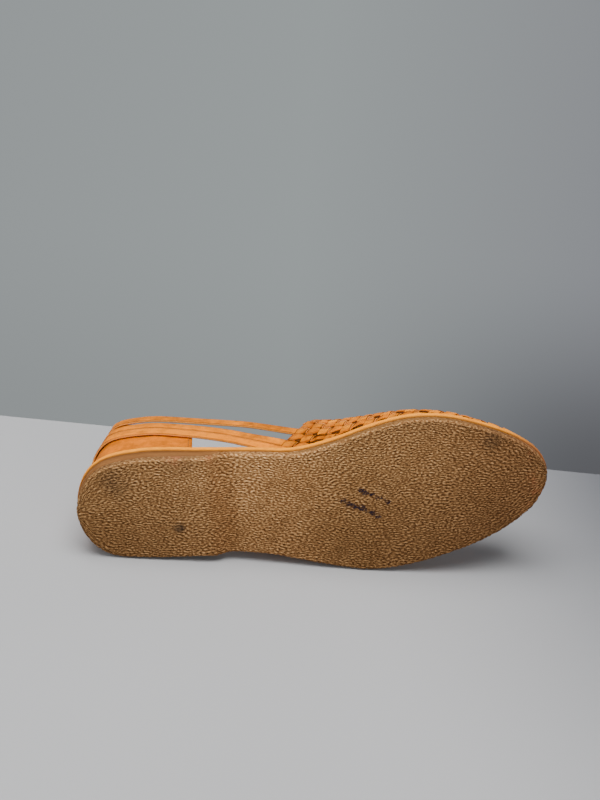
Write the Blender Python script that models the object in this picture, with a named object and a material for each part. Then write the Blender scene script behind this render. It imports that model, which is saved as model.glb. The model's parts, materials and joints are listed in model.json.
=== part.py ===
"""A woven leather huarache for the left foot, lying on its lateral side.

The shoe is modelled upright, as if it stood on a floor: X runs from the back of the heel to the toe,
+Y to the lateral side and Z up, with z = 0 under the heel and the ball. At the end everything hangs on
one empty, which rolls the shoe onto its side until the sole's edge and a side strap touch the floor.
"""

import math

import bmesh
import bpy
import numpy as np
from mathutils import Matrix, Vector

# Driving sizes, in metres
SOLE_LENGTH = 0.284
BALL_WIDTH = 0.101
HEEL_WIDTH = 0.068
TREAD_THICK = 0.0042
LIFT_THICK = 0.0068
MIDSOLE_THICK = 0.0042
INSOLE_THICK = 0.0018
WALL = 0.0022
RELIEF = 0.0010
STRAP_THICK = 0.0018
COUNTER_THICK = 0.0020
GAP = 0.0003

# Sole details
TOE_SPRING = 0.009
LIFT_FRONT = 0.079
LIFT_RAMP = 0.012
TREAD_INSET = 0.0008
EDGE_ROUND = 0.0007
WELT = 0.003
INSOLE_ROUND = 0.0006
INSOLE_CLEAR = 0.0010

# Upper details
INSTEP_HEIGHT = 0.060
ROWS_PER_SIDE = 11.5
CROSS_PITCH = 0.0074
SWEEP = 0.031
SWEEP_GIRTH = 0.085
ARCH_FLARE = 0.011
SIDE_FLARE = 0.002
STRAP_SHARE = 0.93
STRAP_OVERLAP = 0.003
TOE_MARGIN = 0.003
CUT_MARGIN = 0.002

# Heel details
COUNTER_LENGTH = 0.071
COUNTER_HEIGHT = 0.050
COUNTER_FRONT = 0.0165
COUNTER_INSET = 0.0030
COUNTER_LEAN = 0.0020
HEEL_LEAN = 0.0170
STRAP_CLEAR = 0.0005

# How the shoe stands on its edge before it rolls onto its side, in radians, and the station where it
# balances
EDGE_LEAN = 0.01
BALANCE = 0.5

# The sole's outline: station along SOLE_LENGTH, and how far the edge lies to the lateral and to the
# medial side of the long axis, as shares of the local width, which grows from HEEL_WIDTH to BALL_WIDTH
OUTLINE = (
    # station, lateral, medial
    (0.00, 0.030, -0.030),
    (0.02, 0.322, 0.238),
    (0.06, 0.479, 0.394),
    (0.14, 0.545, 0.460),
    (0.26, 0.571, 0.443),
    (0.38, 0.535, 0.374),
    (0.46, 0.531, 0.319),
    (0.54, 0.542, 0.342),
    (0.62, 0.562, 0.404),
    (0.70, 0.543, 0.452),
    (0.78, 0.487, 0.436),
    (0.86, 0.413, 0.355),
    (0.93, 0.314, 0.248),
    (0.98, 0.192, 0.118),
    (1.00, 0.022, -0.022),
)
WAIST_START, WAIST_END = 0.25, 0.62
THROAT = 0.5246  # where the vamp begins, as a station

# The ridge of the vamp: station along the upper's own length, height as a share of INSTEP_HEIGHT.
# What lies behind the throat is open, and only carries the sides
RIDGE = (
    # station, height
    (0.330, 1.60),
    (0.430, 1.27),
    (0.530, 1.00),
    (0.610, 0.83),
    (0.690, 0.69),
    (0.770, 0.585),
    (0.850, 0.50),
    (0.915, 0.415),
    (0.962, 0.30),
    (0.990, 0.15),
    (1.000, 0.00),
)
SHOULDER = 0.62  # how far a section runs level from the ridge, as a share of its half width
SIDE_RISE = 0.42  # how high its side stands before it turns in, as a share of its height
ARCH_STATION, ARCH_SPREAD = 0.43, 0.13

# The straps run back from the vamp's lengthwise strips round the heel: which strip, counted up from
# the sole, and the way of its middle line: station along SOLE_LENGTH and height above the midsole as
# a share of COUNTER_HEIGHT. The middle strap keeps one strap's step above the low one
LOW_WAY = ((0.366, 0.145), (0.334, 0.22), (0.30, 0.285), (0.25, 0.36), (0.18, 0.425), (0.0, 0.50))
TOP_WAY = ((0.372, 0.62), (0.334, 0.665), (0.30, 0.70), (0.25, 0.75), (0.18, 0.81), (0.0, 0.905))
STRAPS = {
    # name: strip, way, steps above it
    "low": (0, LOW_WAY, 0),
    "middle": (1, LOW_WAY, 1),
    "top": (3, TOP_WAY, 0),
}
STRAP_STEP = 1.08

COLOURS = {
    # red, green, blue, roughness
    "crepe": (0.40, 0.24, 0.11, 0.9),
    "lift": (0.36, 0.18, 0.07, 0.7),
    "midsole": (0.75, 0.50, 0.27, 0.6),
    "insole": (0.50, 0.25, 0.10, 0.6),
    "strap": (0.58, 0.24, 0.06, 0.45),
    "counter": (0.58, 0.24, 0.06, 0.45),
}


def clear_scene():
    for old in list(bpy.data.objects):
        bpy.data.objects.remove(old)


def material(name):
    made = bpy.data.materials.get(name)
    if made is None:
        made = bpy.data.materials.new(name)
        made.use_nodes = True
        red, green, blue, rough = COLOURS[name]
        shader = made.node_tree.nodes["Principled BSDF"]
        shader.inputs["Base Color"].default_value = (red, green, blue, 1)
        shader.inputs["Roughness"].default_value = rough
        shader.inputs["Metallic"].default_value = 0
    return made


def smoothstep(t):
    t = np.clip(t, 0, 1)
    return t * t * (3 - 2 * t)


def smooth_curve(points, per_span=12, closed=False):
    """Points on a centripetal Catmull-Rom curve through the given ones."""
    p = np.asarray(points, float)
    if closed:
        p = np.vstack([p[-1], p, p[:2]])
    else:
        p = np.vstack([2 * p[0] - p[1], p, 2 * p[-1] - p[-2]])
    found = []
    for a, b, c, d in zip(p, p[1:], p[2:], p[3:]):
        t1 = math.sqrt(np.linalg.norm(b - a))
        t2 = t1 + math.sqrt(np.linalg.norm(c - b))
        t3 = t2 + math.sqrt(np.linalg.norm(d - c))
        for t in np.linspace(t1, t2, per_span, endpoint=False):
            ab = a + (b - a) * t / t1
            bc = b + (c - b) * (t - t1) / (t2 - t1)
            cd = c + (d - c) * (t - t2) / (t3 - t2)
            abc = ab + (bc - ab) * t / t2
            bcd = bc + (cd - bc) * (t - t1) / (t3 - t1)
            found.append(abc + (bcd - abc) * (t - t1) / (t2 - t1))
    if not closed:
        found.append(p[-2])
    return np.array(found)


def arc_lengths(points):
    steps = np.linalg.norm(np.diff(points, axis=0), axis=1)
    return np.concatenate([[0], np.cumsum(steps)])


def local_width(station):
    blend = smoothstep((station - WAIST_START) / (WAIST_END - WAIST_START))
    return HEEL_WIDTH + (BALL_WIDTH - HEEL_WIDTH) * blend


def sole_outline():
    """The midsole's outline seen from above, as one closed curve from the heel along the lateral side."""
    lateral = [(s * SOLE_LENGTH, lat * local_width(s)) for s, lat, _ in OUTLINE]
    medial = [(s * SOLE_LENGTH, -med * local_width(s)) for s, _, med in OUTLINE[1:-1]]
    return smooth_curve(lateral + medial[::-1], closed=True)


def offset_curve(curve, distance):
    """A closed curve moved outwards by a distance."""
    along = np.roll(curve, -1, axis=0) - np.roll(curve, 1, axis=0)
    outward = np.stack([-along[:, 1], along[:, 0]], axis=1)
    outward /= np.linalg.norm(outward, axis=1)[:, None]
    return curve + outward * distance


class Plan:
    """The sole's outline moved outwards by a distance, as two edges over the stations."""

    def __init__(self, offset):
        curve = offset_curve(sole_outline(), offset)
        first, last = np.argmin(curve[:, 0]), np.argmax(curve[:, 0])
        curve = np.roll(curve, -first, axis=0)
        last = (last - first) % len(curve)
        self.lateral = curve[: last + 1]
        self.medial = np.vstack([curve[last:], curve[:1]])[::-1]
        self.back, self.front = curve[0], curve[last]

    def y(self, x, side):
        edge = self.lateral if side > 0 else self.medial
        return np.interp(x, edge[:, 0], edge[:, 1])


def seat(x):
    """Height of the midsole's underside."""
    s = x / SOLE_LENGTH
    heel = 1 - smoothstep((s - 0.12) / 0.48)
    toe = np.clip((s - 0.74) / 0.26, 0, 1) ** 2
    return TREAD_THICK + LIFT_THICK * heel + TOE_SPRING * toe


def midsole_top(x):
    return seat(x) + MIDSOLE_THICK


def tread_top(x):
    """The crepe lies flat under the heel lift, then climbs to the midsole."""
    climb = smoothstep((x - LIFT_FRONT) / LIFT_RAMP)
    return TREAD_THICK - GAP + (seat(x) - TREAD_THICK) * climb


def tread_bottom(x):
    return tread_top(x) + GAP - TREAD_THICK


def sole_stations():
    """Shares of a sole piece's length: close together at its round ends and where the crepe climbs."""
    ends = (1 - np.cos(np.linspace(0, math.pi, 43))) / 2
    ramp = (LIFT_FRONT + LIFT_RAMP * np.linspace(-0.1, 1.1, 7)) / SOLE_LENGTH
    clear = [e for e in ends if np.abs(ramp - e).min() > 0.004 or not ramp[0] < e < ramp[-1]]
    return np.unique(np.concatenate([clear, ramp]))


def ring(offset, height, shares):
    """A closed loop of points round the sole at an offset from its outline."""
    plan = Plan(offset)
    x = plan.back[0] + shares * (plan.front[0] - plan.back[0])
    z = height(x)
    lateral = np.stack([x, plan.y(x, 1), z], axis=1)
    medial = np.stack([x, plan.y(x, -1), z], axis=1)
    return np.vstack([lateral, medial[-2:0:-1]])


def add_object(name, bm, colour):
    bmesh.ops.recalc_face_normals(bm, faces=bm.faces)
    mesh = bpy.data.meshes.new(name)
    bm.to_mesh(mesh)
    bm.free()
    mesh.materials.append(material(colour))
    mesh.shade_smooth()
    mesh.set_sharp_from_angle(angle=math.radians(35))
    made = bpy.data.objects.new(name, mesh)
    bpy.context.scene.collection.objects.link(made)
    return made


def stack_rings(name, rings, colour):
    """A solid skinned over closed loops of equal count, with both end loops filled across."""
    bm = bmesh.new()
    loops = [[bm.verts.new(p) for p in points] for points in rings]
    count = len(loops[0])
    for lower, upper in zip(loops, loops[1:]):
        for k in range(count):
            n = (k + 1) % count
            bm.faces.new((lower[k], lower[n], upper[n], upper[k]))
    for loop in (loops[0], loops[-1]):
        for k in range(count // 2):
            corners = (loop[k], loop[k + 1], loop[count - k - 1], loop[-k])
            bm.faces.new(list(dict.fromkeys(corners)))
    return add_object(name, bm, colour)


def make_outsole():
    shares = sole_stations()
    edge = -TREAD_INSET
    rings = [
        ring(edge - EDGE_ROUND, tread_bottom, shares),
        ring(edge, lambda x: tread_bottom(x) + EDGE_ROUND, shares),
        ring(edge, tread_top, shares),
    ]
    return stack_rings("outsole", rings, "crepe")


def make_midsole():
    shares = sole_stations()
    low = lambda x: seat(x) + EDGE_ROUND
    high = lambda x: midsole_top(x) - EDGE_ROUND
    rings = [
        ring(-EDGE_ROUND, seat, shares),
        ring(0, low, shares),
        ring(0, high, shares),
        ring(-EDGE_ROUND, midsole_top, shares),
    ]
    return stack_rings("midsole", rings, "midsole")


def make_insole():
    shares = sole_stations()
    edge = -(WELT + WALL + INSOLE_CLEAR)
    low = lambda x: midsole_top(x) + GAP
    high = lambda x: midsole_top(x) + GAP + INSOLE_THICK
    shoulder = lambda x: high(x) - INSOLE_ROUND
    rings = [
        ring(edge, low, shares),
        ring(edge, shoulder, shares),
        ring(edge - INSOLE_ROUND, high, shares),
    ]
    return stack_rings("insole", rings, "insole")


def make_heel_lift():
    """The wedge between crepe and midsole, skived to a thin front edge where the crepe climbs."""
    plan = Plan(-TREAD_INSET)
    front = LIFT_FRONT + 0.6 * LIFT_RAMP
    x = np.concatenate(
        [
            plan.back[0] + (LIFT_FRONT - plan.back[0]) * (1 - np.cos(np.linspace(0, math.pi / 2, 15))),
            np.linspace(LIFT_FRONT, front, 4)[1:],
        ]
    )
    levels = (lambda v: tread_top(v) + GAP, lambda v: seat(v) - GAP)
    bm = bmesh.new()
    loops = []
    for level in levels:
        edges = [[bm.verts.new((v, plan.y(v, side), level(v))) for v in x[1:]] for side in (1, -1)]
        back = bm.verts.new((plan.back[0], plan.back[1], level(plan.back[0])))
        loops.append([back] + edges[0] + edges[1][::-1])
    low, high = loops
    count = len(low)
    for k in range(count):
        n = (k + 1) % count
        bm.faces.new((low[k], low[n], high[n], high[k]))
    for loop in loops:
        for k in range(count // 2):
            corners = (loop[k], loop[k + 1], loop[count - k - 1], loop[-k])
            bm.faces.new(list(dict.fromkeys(corners)))
    return add_object("heel_lift", bm, "lift")


def flare(x, side):
    """How far a section's side leans out past the feather edge. It's most over the medial arch."""
    arch = math.exp(-(((x / SOLE_LENGTH - ARCH_STATION) / ARCH_SPREAD) ** 2))
    return SIDE_FLARE + (ARCH_FLARE * arch if side < 0 else ARCH_FLARE * 0.25 * arch)


class LastSurface:
    """The vamp's base surface, over its own flat pattern.

    s is the distance along the ridge from the throat to the toe, and q the distance from the ridge
    down a side, positive to the lateral side. Crosswise strips sweep back as they go down.
    """

    STATIONS = 150
    ARC_STEPS = 90

    def __init__(self):
        self.plan = Plan(-WELT)
        length = self.plan.front[0]
        ridge = smooth_curve([(s * length, h * INSTEP_HEIGHT) for s, h in RIDGE], 16)
        along = arc_lengths(ridge)
        along -= np.interp(THROAT * SOLE_LENGTH, ridge[:, 0], along)
        bunched = 1 - (1 - np.linspace(0, 1, self.STATIONS)) ** 1.5
        self.s = along[0] + (along[-1] - along[0]) * bunched
        self.x = np.interp(self.s, along, ridge[:, 0])
        self.rise = np.interp(self.s, along, ridge[:, 1])
        sides = [self.section_table(side) for side in (-1, 1)]
        self.reach = max(girths.max() for _, girths in sides) * 1.05
        self.q = np.linspace(0, self.reach, self.ARC_STEPS)
        self.tables, self.girths = {}, {}
        for side, (curves, girths) in zip((-1, 1), sides):
            self.tables[side] = np.array([self.resample(c) for c in curves])
            self.girths[side] = girths

    def section(self, x, rise, side):
        """A cross-section from the ridge to the feather edge, as points (y, height)."""
        middle = self.plan.front[1]
        reach = abs(self.plan.y(x, side) - middle)
        out = flare(x, side) * min(1, rise / (0.3 * INSTEP_HEIGHT))
        a, b = (0, rise), (SHOULDER * reach, rise)
        c, d = (reach + out, SIDE_RISE * rise), (reach, 0)
        t = np.linspace(0, 1, 40)[:, None]
        y_and_h = (1 - t) ** 3 * a + 3 * t * (1 - t) ** 2 * b + 3 * t * t * (1 - t) * c + t**3 * d
        return np.stack([middle + side * y_and_h[:, 0], y_and_h[:, 1]], axis=1)

    def section_table(self, side):
        curves = [self.section(x, h, side) for x, h in zip(self.x, self.rise)]
        return curves, np.array([arc_lengths(c)[-1] for c in curves])

    def resample(self, curve):
        """The curve at each arc step, run straight on past its end."""
        along = arc_lengths(curve)
        past = np.clip(self.q - along[-1], 0, None)[:, None]
        end = curve[-1] - curve[-2]
        end = end / max(np.linalg.norm(end), 1e-9)
        inside = [np.interp(self.q, along, curve[:, k]) for k in (0, 1)]
        return np.stack(inside, axis=1) + past * end

    def girth(self, s, side):
        return np.interp(s, self.s, self.girths[side])

    def base(self, s, q):
        """Points on the surface for arrays of pattern places, before any sweep."""
        x = np.interp(s, self.s, self.x)
        row = np.interp(s, self.s, np.arange(len(self.s)))
        column = np.clip(np.abs(q) / self.q[1], 0, len(self.q) - 1.001)
        r, c = np.minimum(row.astype(int), len(self.s) - 2), column.astype(int)
        u, v = (row - r)[:, None], (column - c)[:, None]
        both = []
        for side in (-1, 1):
            t = self.tables[side]
            near = t[r, c] * (1 - v) + t[r, c + 1] * v
            far = t[r + 1, c] * (1 - v) + t[r + 1, c + 1] * v
            both.append(near * (1 - u) + far * u)
        y_and_h = np.where((q < 0)[:, None], both[0], both[1])
        return np.stack([x, y_and_h[:, 0], midsole_top(x) + GAP + y_and_h[:, 1]], axis=1)

    def at(self, s, q):
        s, q = np.atleast_1d(s).astype(float), np.atleast_1d(q).astype(float)
        return self.base(s - SWEEP * (q / SWEEP_GIRTH) ** 2, q)

    def normal(self, s, q):
        """The outward direction, taken a little inside the feather edge, where the surface is smooth."""
        step, margin = 0.2 * TOE_MARGIN, 0.4 * TOE_MARGIN
        s, q = np.atleast_1d(s).astype(float), np.atleast_1d(q).astype(float)
        unswept = np.minimum(s - SWEEP * (q / SWEEP_GIRTH) ** 2, self.s[-1] - TOE_MARGIN)
        side_girth = np.where(q < 0, self.girth(unswept, -1), self.girth(unswept, 1))
        q = np.clip(q, margin - side_girth, side_girth - margin)
        along = self.base(unswept + step, q) - self.base(unswept - step, q)
        across = self.base(unswept, q + step) - self.base(unswept, q - step)
        n = np.cross(along, across)
        return n / np.linalg.norm(n, axis=1)[:, None]

    def feather(self, side):
        """The pattern's edge along the sole, as places (s, q)."""
        edge = self.s + SWEEP * (self.girths[side] / SWEEP_GIRTH) ** 2
        return np.stack([edge, side * self.girths[side]], axis=1)

    def feather_girth(self, s, side):
        """The pattern's half width from the ridge to the sole, along a swept line."""
        edge = self.feather(side)
        return float(np.interp(s, edge[:, 0], np.abs(edge[:, 1])))

    def rear_girth(self, side):
        return self.feather_girth(0, side)

    def rows(self):
        """The lengthwise strips' edges, from the medial to the lateral feather edge."""
        steps = np.arange(ROWS_PER_SIDE % 1, ROWS_PER_SIDE + 0.01)
        medial, lateral = (self.rear_girth(side) / ROWS_PER_SIDE for side in (-1, 1))
        return np.concatenate([-steps[::-1] * medial, steps * lateral])


def strip_pad(bm, corners, along_s):
    """One raised crossing of the weave: a strip that dips at both ends, with a groove all round.

    corners are the cell's four groove vertices, turned so that the top strip runs from the first to
    the second. It returns nothing: the faces are made in bm.
    """
    edge, high, low = 0.10, RELIEF, 0.3 * RELIEF
    a, b, c, d = corners if along_s else (corners[1], corners[2], corners[3], corners[0])
    pad = []
    for across in (edge, 1 - edge):
        for along, rise in ((edge, low), (0.5, high), (1 - edge, low)):
            low_side = a.co.lerp(b.co, along)
            high_side = d.co.lerp(c.co, along)
            place = low_side.lerp(high_side, across)
            pad.append(bm.verts.new(place + Vector((0, 0, rise))))
    a0, a1, a2, b0, b1, b2 = pad
    faces = (
        (a0, a1, b1, b0),
        (a1, a2, b2, b1),
        (a, b, a1),
        (a, a1, a0),
        (b, a2, a1),
        (b, c, b2, a2),
        (c, d, b1),
        (c, b1, b2),
        (d, b0, b1),
        (d, a, a0, b0),
    )
    for corners_of_face in faces:
        bm.faces.new(corners_of_face)


def flat_weave(surface):
    """The woven sheet laid flat: s along X, q along Y, and its relief and thickness along Z."""
    q_edges = surface.rows()
    s_edges = np.arange(0, surface.s[-1] + 2 * CROSS_PITCH, CROSS_PITCH)
    bm = bmesh.new()
    top = [[bm.verts.new((s, q, 0)) for q in q_edges] for s in s_edges]
    under = [[bm.verts.new((s, q, -WALL)) for q in q_edges] for s in s_edges]
    for j in range(len(s_edges) - 1):
        for i in range(len(q_edges) - 1):
            cell = (top[j][i], top[j + 1][i], top[j + 1][i + 1], top[j][i + 1])
            strip_pad(bm, cell, (i + j) % 2 == 0)
            bm.faces.new((under[j][i], under[j][i + 1], under[j + 1][i + 1], under[j + 1][i]))
    for j in range(len(s_edges) - 1):
        for i in (0, -1):
            bm.faces.new((top[j][i], top[j + 1][i], under[j + 1][i], under[j][i]))
    for i in range(len(q_edges) - 1):
        for j in (0, -1):
            bm.faces.new((top[j][i], top[j][i + 1], under[j][i + 1], under[j][i]))
    return add_object("flat_weave", bm, "strap")


def pattern_cutter(surface):
    """A prism over the vamp's flat pattern: the feather edge on both sides, and the rear edge."""
    edges = {}
    for side in (-1, 1):
        points = surface.feather(side)
        ahead = points[points[:, 0] > 0]
        rear = (0.0, side * surface.rear_girth(side))
        picked = np.linspace(0, len(ahead) - 1, 34).astype(int)
        edges[side] = [rear] + [tuple(ahead[k]) for k in picked]
    outline = edges[1][:-1] + edges[-1][::-1]
    for k in (0, -1):
        outline[k] = (outline[k][0] - CUT_MARGIN, outline[k][1])
    bm = bmesh.new()
    low = bm.faces.new([bm.verts.new((s, q, -WALL - CUT_MARGIN)) for s, q in outline])
    made = bmesh.ops.extrude_face_region(bm, geom=[low])
    raised = [g for g in made["geom"] if isinstance(g, bmesh.types.BMVert)]
    bmesh.ops.translate(bm, verts=raised, vec=(0, 0, WALL + RELIEF + 2 * CUT_MARGIN))
    return add_object("pattern_cutter", bm, "strap")


def add_boolean(target, cutter, operation):
    cut = target.modifiers.new(cutter.name, "BOOLEAN")
    cut.object = cutter
    cut.operation = operation
    cut.solver = "EXACT"
    cutter.hide_render = True
    cutter.display_type = "WIRE"


def evaluated_mesh(obj):
    graph = bpy.context.evaluated_depsgraph_get()
    return bpy.data.meshes.new_from_object(obj.evaluated_get(graph))


def make_vamp(surface):
    """The flat weave is trimmed to its pattern, then wrapped over the last."""
    sheet, cutter = flat_weave(surface), pattern_cutter(surface)
    add_boolean(sheet, cutter, "INTERSECT")
    mesh = evaluated_mesh(sheet)
    places = np.array([v.co for v in mesh.vertices])
    on_last = surface.at(places[:, 0], places[:, 1])
    outward = surface.normal(places[:, 0], places[:, 1])
    wrapped = on_last + outward * places[:, 2:3]
    wrapped[:, 2] = np.maximum(wrapped[:, 2], midsole_top(wrapped[:, 0]) + GAP)
    mesh.vertices.foreach_set("co", wrapped.astype(np.float32).ravel())
    mesh.update()
    for helper in (sheet, cutter):
        bpy.data.objects.remove(helper)
    mesh.set_sharp_from_angle(angle=math.radians(35))
    made = bpy.data.objects.new("upper", mesh)
    bpy.context.scene.collection.objects.link(made)
    return made


def counter_inset(height, backward):
    """How far the counter's outer face stands in from the midsole's edge, at a height above it.

    The sides bulge a little and lean in, and the more the face looks backward, from 0 to 1, the more it
    leans forward, because no foot fills it.
    """
    share = min(height / COUNTER_HEIGHT, 1)
    lean = COUNTER_LEAN * (share**2 - 0.5 * math.sin(math.pi * share))
    return COUNTER_INSET + lean + HEEL_LEAN * backward**2 * share**1.5


class HeelSurface:
    """The counter's outer face, round the back of the sole's outline."""

    def __init__(self):
        outline, moved = Plan(0), sole_outline()
        outward = offset_curve(moved, 1) - moved
        self.halves = {}
        for side, edge in ((1, outline.lateral), (-1, outline.medial)):
            nearest = [np.argmin(np.sum((moved - p) ** 2, axis=1)) for p in edge]
            self.halves[side] = (edge, arc_lengths(edge), outward[nearest])

    def point(self, station, side, height, outward):
        """A point at a station and a height above the midsole, moved outwards from the face."""
        edge, along, facing = self.halves[side]
        place = np.interp(station * SOLE_LENGTH, edge[:, 0], along)
        xy = np.array([np.interp(place, along, edge[:, k]) for k in (0, 1)])
        out = np.array([np.interp(place, along, facing[:, k]) for k in (0, 1)])
        out /= np.linalg.norm(out)
        xy = xy + out * (outward - counter_inset(height, max(-out[0], 0)))
        return np.array([xy[0], xy[1], midsole_top(max(xy[0], 0)) + height])


def heel_turns():
    """Stations from the counter's front edge to the back, closer together round the heel."""
    front = math.acos(1 - 2 * COUNTER_LENGTH / SOLE_LENGTH)
    return [(1 - math.cos(turn)) / 2 for turn in np.linspace(front, 0, 13)]


def strap_half(surface, heel, name, side):
    """A strap's cross-sections from the vamp to the back: its outer low, outer high and inner edges."""
    strip, way, steps = STRAPS[name]
    width = STRAP_SHARE * surface.rear_girth(-1) / ROWS_PER_SIDE
    q = surface.rear_girth(side) * (1 - (strip + 0.5) / ROWS_PER_SIDE)
    sunk = (WALL - STRAP_THICK) / 2
    sections = []
    for s in (STRAP_OVERLAP, -STRAP_OVERLAP / 2):
        lowest = surface.feather_girth(s, side) - GAP
        edges = [(s, side * min(q + k * width, lowest)) for k in (0.5, -0.5)]
        faces = [surface.at(*e)[0] - surface.normal(*e)[0] * sunk for e in edges]
        backs = [f - surface.normal(*e)[0] * STRAP_THICK for f, e in zip(faces, edges)]
        sections.append(faces + backs)
    stations, heights = np.array(way).T
    bridging = list(stations[:3])
    for station in bridging + heel_turns():
        height = np.interp(station, stations[::-1], heights[::-1]) * COUNTER_HEIGHT
        height += steps * STRAP_STEP * width
        section = []
        for outward in (GAP + STRAP_THICK, GAP):
            for k in (-0.5, 0.5):
                section.append(heel.point(station, side, height + k * width, outward))
        sections.append(section)
    sections = np.array(sections)
    bridged = len(bridging) + 1
    flat = sections[: bridged + 2].reshape(bridged + 2, 12)
    curve = smooth_curve(flat, 3)[: 3 * bridged]
    return np.vstack([curve.reshape(-1, 4, 3), sections[bridged:]])


def make_strap(surface, heel, name):
    """A strap that leaves the vamp on one side, runs round the heel and joins it on the other."""
    medial = strap_half(surface, heel, name, -1)
    lateral = strap_half(surface, heel, name, 1)
    sections = np.vstack([medial, lateral[-2::-1]])
    outer = [sections[:, 0], sections[:, 1]]
    inner = [sections[:, 2], sections[:, 3]]
    return grid_shell("strap_" + name, outer, inner, "strap")


def grid_shell(name, outer, inner, colour):
    """A thin solid between two grids of points of the same size."""
    bm = bmesh.new()
    grids = [[[bm.verts.new(p) for p in row] for row in grid] for grid in (outer, inner)]
    rows, columns = len(grids[0]), len(grids[0][0])
    for grid in grids:
        for r in range(rows - 1):
            for c in range(columns - 1):
                bm.faces.new((grid[r][c], grid[r][c + 1], grid[r + 1][c + 1], grid[r + 1][c]))
    out, into = grids
    for c in range(columns - 1):
        for r in (0, -1):
            bm.faces.new((out[r][c], out[r][c + 1], into[r][c + 1], into[r][c]))
    for r in range(rows - 1):
        for c in (0, -1):
            bm.faces.new((out[r][c], out[r + 1][c], into[r + 1][c], into[r][c]))
    return add_object(name, bm, colour)


def make_counter():
    """The leather panel round the heel, low at its front corners and high at the back."""
    heel = HeelSurface()
    face = GAP - STRAP_CLEAR
    front = COUNTER_LENGTH / SOLE_LENGTH
    columns = [(station, -1) for station in heel_turns()] + [(station, 1) for station in heel_turns()[-2::-1]]
    outer, inner = [], []
    for level in np.linspace(0, 1, 7):
        rows = ([], [])
        for station, side in columns:
            rise = smoothstep(1 - station / front) ** 0.6
            top = COUNTER_FRONT + (COUNTER_HEIGHT - COUNTER_FRONT) * rise
            height = GAP + (top - GAP) * level
            for row, outward in zip(rows, (face, face - COUNTER_THICK)):
                row.append(heel.point(station, side, height, outward))
        outer.append(rows[0])
        inner.append(rows[1])
    return grid_shell("heel_counter", outer, inner, "counter")


def make_upper():
    """The woven vamp with its side straps, joined to one solid."""
    surface, heel = LastSurface(), HeelSurface()
    upper = make_vamp(surface)
    for name in STRAPS:
        add_boolean(upper, make_strap(surface, heel, name), "UNION")
    return upper


def next_contact(points, pivot, down, toward):
    """Rolls about a pivot until another point touches: returns it and the new down direction."""
    toward = toward - down * (toward @ down)
    toward /= np.linalg.norm(toward)
    away = points - pivot
    depth, reach = -away @ down, away @ toward
    angle = np.where(reach > GAP, np.arctan2(depth, reach), math.pi)
    touched = int(np.argmin(angle))
    turned = down * math.cos(angle[touched]) + toward * math.sin(angle[touched])
    return points[touched], turned / np.linalg.norm(turned)


def lying_frame(points):
    """The turn and shift that lay the shoe on its lateral side, centred over the origin.

    It starts on edge, leaning a little towards its upper, and rolls back until it touches at the ball
    and at the heel, on both sides of where it balances. Then it rolls over until the upper is down too.
    """
    down = np.array([0.0, math.cos(EDGE_LEAN), math.sin(EDGE_LEAN)])
    heel = points[np.argmax(points @ down)]
    while heel[0] > BALANCE * SOLE_LENGTH:
        ball = heel
        heel, down = next_contact(points, ball, down, np.array([-1.0, 0.0, 0.0]))
    _, down = next_contact(points, ball, down, np.cross(ball - heel, down))
    up = -down
    forward = np.array([1.0, 0.0, 0.0]) - up * up[0]
    forward /= np.linalg.norm(forward)
    turn = np.array([forward, np.cross(up, forward), up])
    turned = points @ turn.T
    low, high = turned.min(axis=0), turned.max(axis=0)
    shift = -np.array([(low[0] + high[0]) / 2, (low[1] + high[1]) / 2, low[2]])
    return Matrix.Translation(Vector(shift)) @ Matrix(turn.tolist()).to_4x4()


def lay_down(pieces):
    bpy.context.view_layer.update()
    points = np.vstack([np.array([v.co for v in evaluated_mesh(p).vertices]) for p in pieces])
    shoe = bpy.data.objects.new("lying_shoe", None)
    bpy.context.scene.collection.objects.link(shoe)
    shoe.matrix_world = lying_frame(points)
    for piece in bpy.context.scene.objects:
        if piece is not shoe:
            piece.parent = shoe


def main():
    clear_scene()
    pieces = [make_outsole(), make_heel_lift(), make_midsole(), make_insole(), make_upper(), make_counter()]
    lay_down(pieces)


main()
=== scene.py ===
"""A woven leather huarache for the left foot, lying on its lateral side, sole to the camera.

Shapes are worked out upright, as the shoe stands on a floor: X from heel to toe, +Y lateral, Z up.
The record's two tread mounts say how the CAD model lies, and every piece is laid down the same way.
"""

import json
import math
import random
from functools import reduce

import bmesh
import bpy
import numpy as np
from mathutils import Matrix, Vector


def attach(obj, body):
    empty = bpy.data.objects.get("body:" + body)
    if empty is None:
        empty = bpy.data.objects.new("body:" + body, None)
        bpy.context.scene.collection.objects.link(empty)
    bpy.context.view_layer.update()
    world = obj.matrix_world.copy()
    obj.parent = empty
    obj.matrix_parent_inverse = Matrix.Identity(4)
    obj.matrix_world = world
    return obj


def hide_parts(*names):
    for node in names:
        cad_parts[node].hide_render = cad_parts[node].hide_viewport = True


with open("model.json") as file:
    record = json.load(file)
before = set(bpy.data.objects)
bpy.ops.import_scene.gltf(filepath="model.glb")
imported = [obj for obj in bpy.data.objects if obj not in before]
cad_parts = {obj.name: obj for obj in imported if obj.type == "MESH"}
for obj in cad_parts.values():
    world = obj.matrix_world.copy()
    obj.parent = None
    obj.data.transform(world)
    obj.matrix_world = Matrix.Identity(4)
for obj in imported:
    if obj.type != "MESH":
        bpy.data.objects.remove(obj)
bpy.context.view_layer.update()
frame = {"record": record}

# Driving sizes, in metres, the same as the CAD model's
SOLE_LENGTH = 0.284
BALL_WIDTH = 0.101
HEEL_WIDTH = 0.068
TREAD_THICK = 0.0042
LIFT_THICK = 0.0068
MIDSOLE_THICK = 0.0042
INSOLE_THICK = 0.0018
WALL = 0.0022
STRAP_THICK = 0.0018
COUNTER_THICK = 0.0020
GAP = 0.0003
TOE_SPRING = 0.009
LIFT_FRONT = 0.079
LIFT_RAMP = 0.012
TREAD_INSET = 0.0008
WELT = 0.003
INSOLE_CLEAR = 0.0010
INSTEP_HEIGHT = 0.060
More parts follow.
